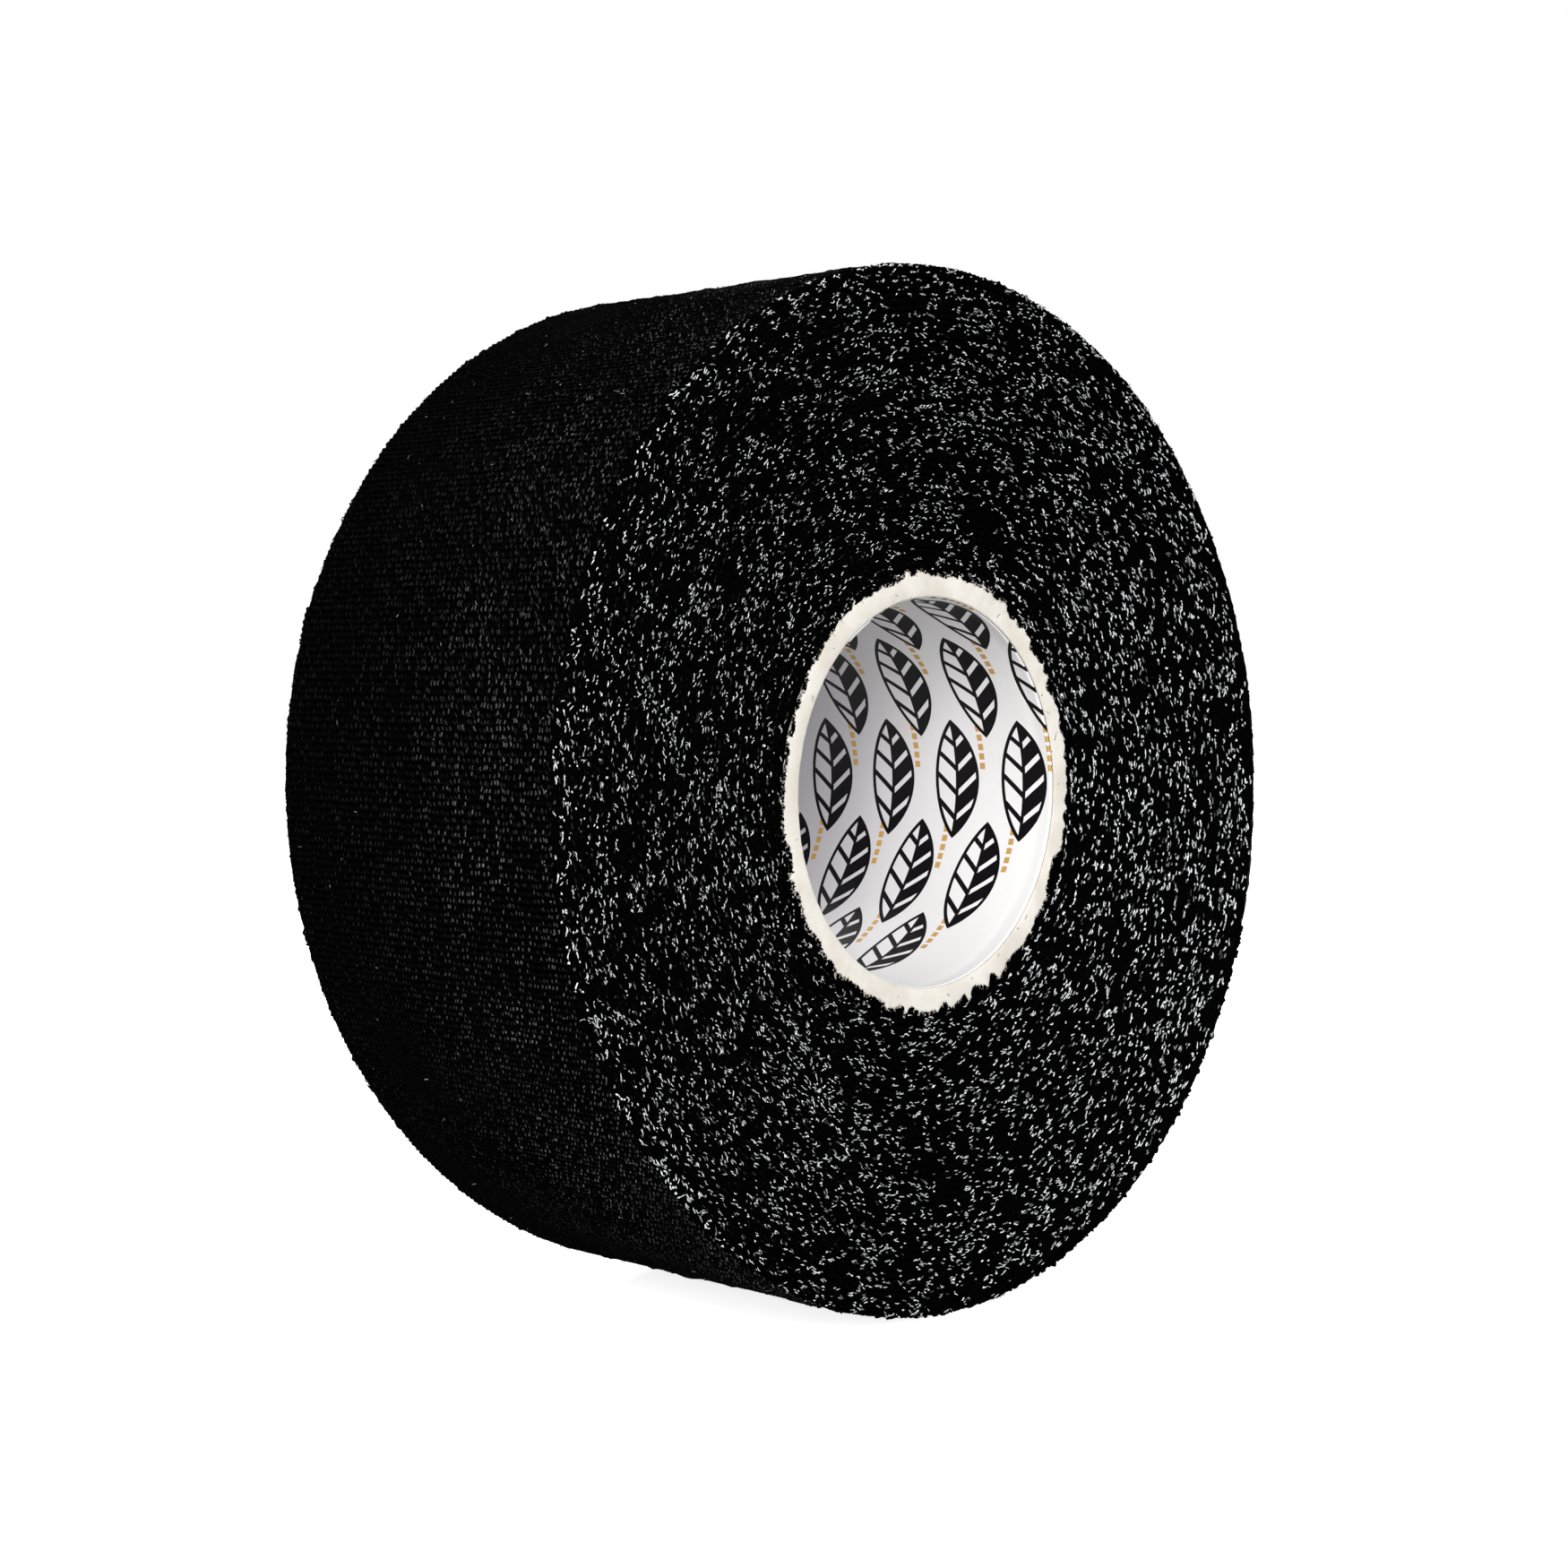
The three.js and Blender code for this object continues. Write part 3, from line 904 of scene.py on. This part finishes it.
def black_tufts(rng):
    """Ends of the tape's first turn that hook over the core's torn edge, most where it is torn away."""
    theta = rng.uniform(0, 2 * math.pi, 14000)
    gap = (CORE_RADIUS + 0.12 * MM - torn_edge(theta)).clip(0.1 * MM)
    kept = rng.random(len(theta)) < gap / (0.9 * MM)
    theta, gap = theta[kept], gap[kept]
    count = len(theta)
    out = np.where(rng.random(count) < 0.6, -1.0, 1.0)
    reach = gap * rng.uniform(0.06, 1, count)
    y = core_end(out) + out * rng.uniform(-0.03, 0.10, count) * MM
    middle = around(torn_edge(theta) + reach, theta, y)
    radial, tangent = directions(theta)
    tilt = rng.normal(0, 1.0, count)[:, None]
    along = radial * np.cos(tilt) + tangent * np.sin(tilt)
    lift = axial(out)
    tufts = threads(
        rng, middle, along, lift,
        length=rng.uniform(0.2, 0.45, count) * MM,
        radius=rng.uniform(0.035, 0.08, count) * MM,
        curl=rng.uniform(0.0, 0.06, count) * MM,
        sink=0.09 * MM,
    )
    return thread_object("first_turn_tufts", tufts, BLACK_YARN)


def stray_lint(rng):
    """A few black hairs on the core's two end faces."""
    count = 34
    theta = rng.uniform(0, 2 * math.pi, count)
    out = np.where(np.arange(count) % 2, 1.0, -1.0)
    radius = CORE_RADIUS - rng.uniform(0.25, 1.1, count) * MM
    middle = around(radius, theta, core_end(out) + out * 0.02 * MM)
    radial, tangent = directions(theta)
    tilt = rng.uniform(0, 2 * math.pi, count)[:, None]
    along = radial * np.cos(tilt) + tangent * np.sin(tilt)
    lift = axial(out)
    hairs = threads(
        rng, middle, along, lift,
        length=rng.uniform(0.1, 0.6, count) * MM,
        radius=rng.uniform(0.012, 0.024, count) * MM,
        curl=rng.uniform(0.02, 0.1, count) * MM,
        sink=0.015 * MM,
    )
    return thread_object("core_stray_lint", hairs, BLACK_YARN)


# Assembly


def rib_end(wound):
    """The run at this angle, moved to the nearest rib's top, where two lengths can meet without a step."""
    return round(run_of(wound) / RIB_PITCH) * RIB_PITCH


def strip_point(run):
    """The place of the tape's outer side at this run, halfway across it."""
    wound = wound_of(run)
    return tuple(around(turn_radius(wound), FREE_END - wound, 0.0))


RIB_SPACING = RIB_PITCH / 4
TURNS_SPACING = 0.24 * MM
WINDING_PIECES = 5
OUTER_PIECES = 3


def build_tail(halves):
    """The free end: each length of tape with its cut yarn ends and black fluff, in place of its CAD length.
    """
    for k in range(1, TAIL_SEGMENTS + 1):
        near = halves[TAIL_SEGMENTS - k] if k < TAIL_SEGMENTS else 0.0
        far = halves[TAIL_SEGMENTS - k + 1]
        rng = np.random.default_rng(100 + k)
        ends = [yarn_ends(rng, near, far, side, least=0.4)[0] for side in (-1, 1)]
        black = [edge_fluff(rng, near, far, 110)]
        black.append(rim_knots(rng, near, far, 24, spread=0.2))
        black.append(side_lint(rng, near, far, 130))
        if k == TAIL_SEGMENTS:
            black.append(end_fray(rng, 70))
        strip = tape(f"tape_tail_{k}", near, far, RIB_SPACING, CLOTH_COLUMNS)
        yarn = thread_object(f"tail_yarn_{k}", np.vstack(ends), YARN_MATERIALS["middling"])
        loose = thread_object(f"tail_fluff_{k}", np.vstack(black), BLACK_YARN)
        far_point, near_point = strip_point(far), strip_point(near)
        if k == TAIL_SEGMENTS:
            near_point = strip_point(halves[0])
        for piece in (strip, yarn, loose):
            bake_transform(piece)
        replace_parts(strip, f"tail_length_{k}")


def build_roll_tape(outer_from):
    """The rest of the tape, from the peel line to the core, with its fluff and cut yarn ends."""
    outer_to = run_of(2 * math.pi)
    joins = np.linspace(outer_from, outer_to, OUTER_PIECES + 1)
    for k in range(OUTER_PIECES):
        outer = tape(f"tape_outer_turn_{k + 1}", joins[k], joins[k + 1], RIB_SPACING, CLOTH_COLUMNS)
        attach(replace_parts(outer, "outer_turn"), "roll")
    under_tail = run_of(2 * math.pi + (TAIL_SEGMENTS + 1) * SEGMENT)
    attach(tape("tape_turn_under_tail", outer_to, under_tail, RIB_SPACING, CLOTH_COLUMNS), "roll")
    ends = np.linspace(under_tail, FULL_RUN, WINDING_PIECES + 1)
    for k in range(WINDING_PIECES):
        turns = tape(f"tape_turns_{k + 1}", ends[k], ends[k + 1], TURNS_SPACING, 1)
        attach(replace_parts(turns, "tape_winding"), "roll")
    start = tape("tape_start", FULL_RUN, RUN_TABLE[-1], TURNS_SPACING, 1)
    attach(start, "roll")
    rng = np.random.default_rng(200)
    black = [edge_fluff(rng, outer_from, outer_to, 1500)]
    black.append(rim_knots(rng, outer_from, outer_to, 1400))
    black.append(side_lint(rng, outer_from, outer_to, 2600))
    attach(thread_object("tape_fluff", np.vstack(black), BLACK_YARN), "roll")
    lint = side_lint(rng, outer_from, outer_to, 420, reach=0.45)
    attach(thread_object("pale_lint", lint, YARN_MATERIALS["middling"]), "roll")
    for side, place in ((-1, "front"), (1, "back")):
        batch, tone = yarn_ends(rng, outer_from, FULL_RUN, side)
        low = 0.0
        for name, (top, paleness) in YARN_TONES.items():
            chosen = batch[(tone >= low) & (tone < top)]
            piece = thread_object(f"yarn_ends_{place}_{name}", chosen, YARN_MATERIALS[name])
            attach(piece, "roll")
            low = top


tail_joins = [rib_end((k + 0.5) * SEGMENT) for k in range(TAIL_SEGMENTS + 1)]
build_tail(tail_joins)
build_roll_tape(tail_joins[-1])
core_rng = np.random.default_rng(300)
for piece in (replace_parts(core_tube(), "core_tube"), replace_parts(core_liner(), "core_liner"),
              paper_fuzz(core_rng), black_tufts(core_rng), stray_lint(core_rng)):
    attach(piece, "roll")


# Floor, light and camera


FLOOR_HALF = 6.0
FLOOR_GLOW = 0.80                   # lifts the floor to the photo's white backdrop


def studio():
    """A plain white floor that the roll stands on, a sky and three soft lights."""
    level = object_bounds()[0].z
    floor = bpy.data.meshes.new("floor")
    corners = [(-1, -1), (1, -1), (1, 1), (-1, 1)]
    floor.from_pydata([(x * FLOOR_HALF, y * FLOOR_HALF, level) for x, y in corners], [], [(0, 1, 2, 3)])
    ground = bpy.data.objects.new("floor", floor)
    bpy.context.scene.collection.objects.link(ground)
    n = Nodes("lit_floor")
    n.put(n.shader.inputs["Emission Color"], (1.0, 1.0, 1.0))
    n.put(n.shader.inputs["Emission Strength"], FLOOR_GLOW)
    floor.materials.append(n.finish((0.9, 0.9, 0.9), 0.9, 0.0))
    ground.visible_diffuse = False
    ground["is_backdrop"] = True
    sky()
    bpy.context.scene.view_settings.view_transform = "Standard"
    lamp("softbox", place=(-0.60, -0.66, 0.29), size=0.5, power=11.6, colour=(1.0, 0.99, 0.98))
    lamp("cool_side", place=(0.62, -0.60, 0.06), size=0.4, power=2.4, colour=(0.84, 0.94, 1.0))
    lamp("back_fill", place=(0.35, 0.70, 0.55), size=0.5, power=5.0, colour=(1.0, 1.0, 1.0))


def sky():
    """A dimmer sky than the white backdrop that the camera sees."""
    world = bpy.data.worlds.new("studio")
    world.use_nodes = True
    tree = world.node_tree
    background = tree.nodes["Background"]
    background.inputs["Color"].default_value = (1, 1, 1, 1)
    strength = tree.nodes.new("ShaderNodeMapRange")
    strength.inputs["To Min"].default_value = 0.4
    strength.inputs["To Max"].default_value = 1.0
    path = tree.nodes.new("ShaderNodeLightPath")
    tree.links.new(path.outputs["Is Camera Ray"], strength.inputs["Value"])
    tree.links.new(strength.outputs[0], background.inputs["Strength"])
    bpy.context.scene.world = world


def lamp(name, place, size, power, colour):
    """A square area light that shines at the middle of the roll."""
    light = bpy.data.lights.new(name, "AREA")
    light.size = size
    light.energy = power
    light.color = colour
    made = bpy.data.objects.new(name, light)
    bpy.context.scene.collection.objects.link(made)
    made.location = place
    made.rotation_euler = (-Vector(place)).to_track_quat("-Z", "Y").to_euler()


# The camera, as fitted to the roll's outlines in the photograph

CAMERA_AZIMUTH = math.radians(-46.19)
CAMERA_ELEVATION = math.radians(2.43)
CAMERA_DISTANCE = 4.850 * ROLL_RADIUS
CAMERA_ASIDE = -0.3289 * ROLL_RADIUS
CAMERA_RAISE = 0.0189 * ROLL_RADIUS
LENS = 59.28
SENSOR = 36.0


def camera():
    """The photograph's camera, placed from the middle of the roll's front face."""
    a, e = CAMERA_AZIMUTH, CAMERA_ELEVATION
    back = Vector((math.sin(a) * math.cos(e), -math.cos(a) * math.cos(e), math.sin(e)))
    right = Vector((math.cos(a), math.sin(a), 0))
    up = back.cross(right)
    data = bpy.data.cameras.new("camera")
    data.lens, data.sensor_width = LENS, SENSOR
    made = bpy.data.objects.new("camera", data)
    bpy.context.scene.collection.objects.link(made)
    front_centre = Vector((0, FRONT_Y, 0))
    place = front_centre + back * CAMERA_DISTANCE + right * CAMERA_ASIDE + up * CAMERA_RAISE
    made.matrix_world = Matrix.Translation(place) @ Matrix((right, up, back)).transposed().to_4x4()
    data.clip_start, data.clip_end = 0.01, 20.0
    bpy.context.scene.camera = made


studio()
camera()
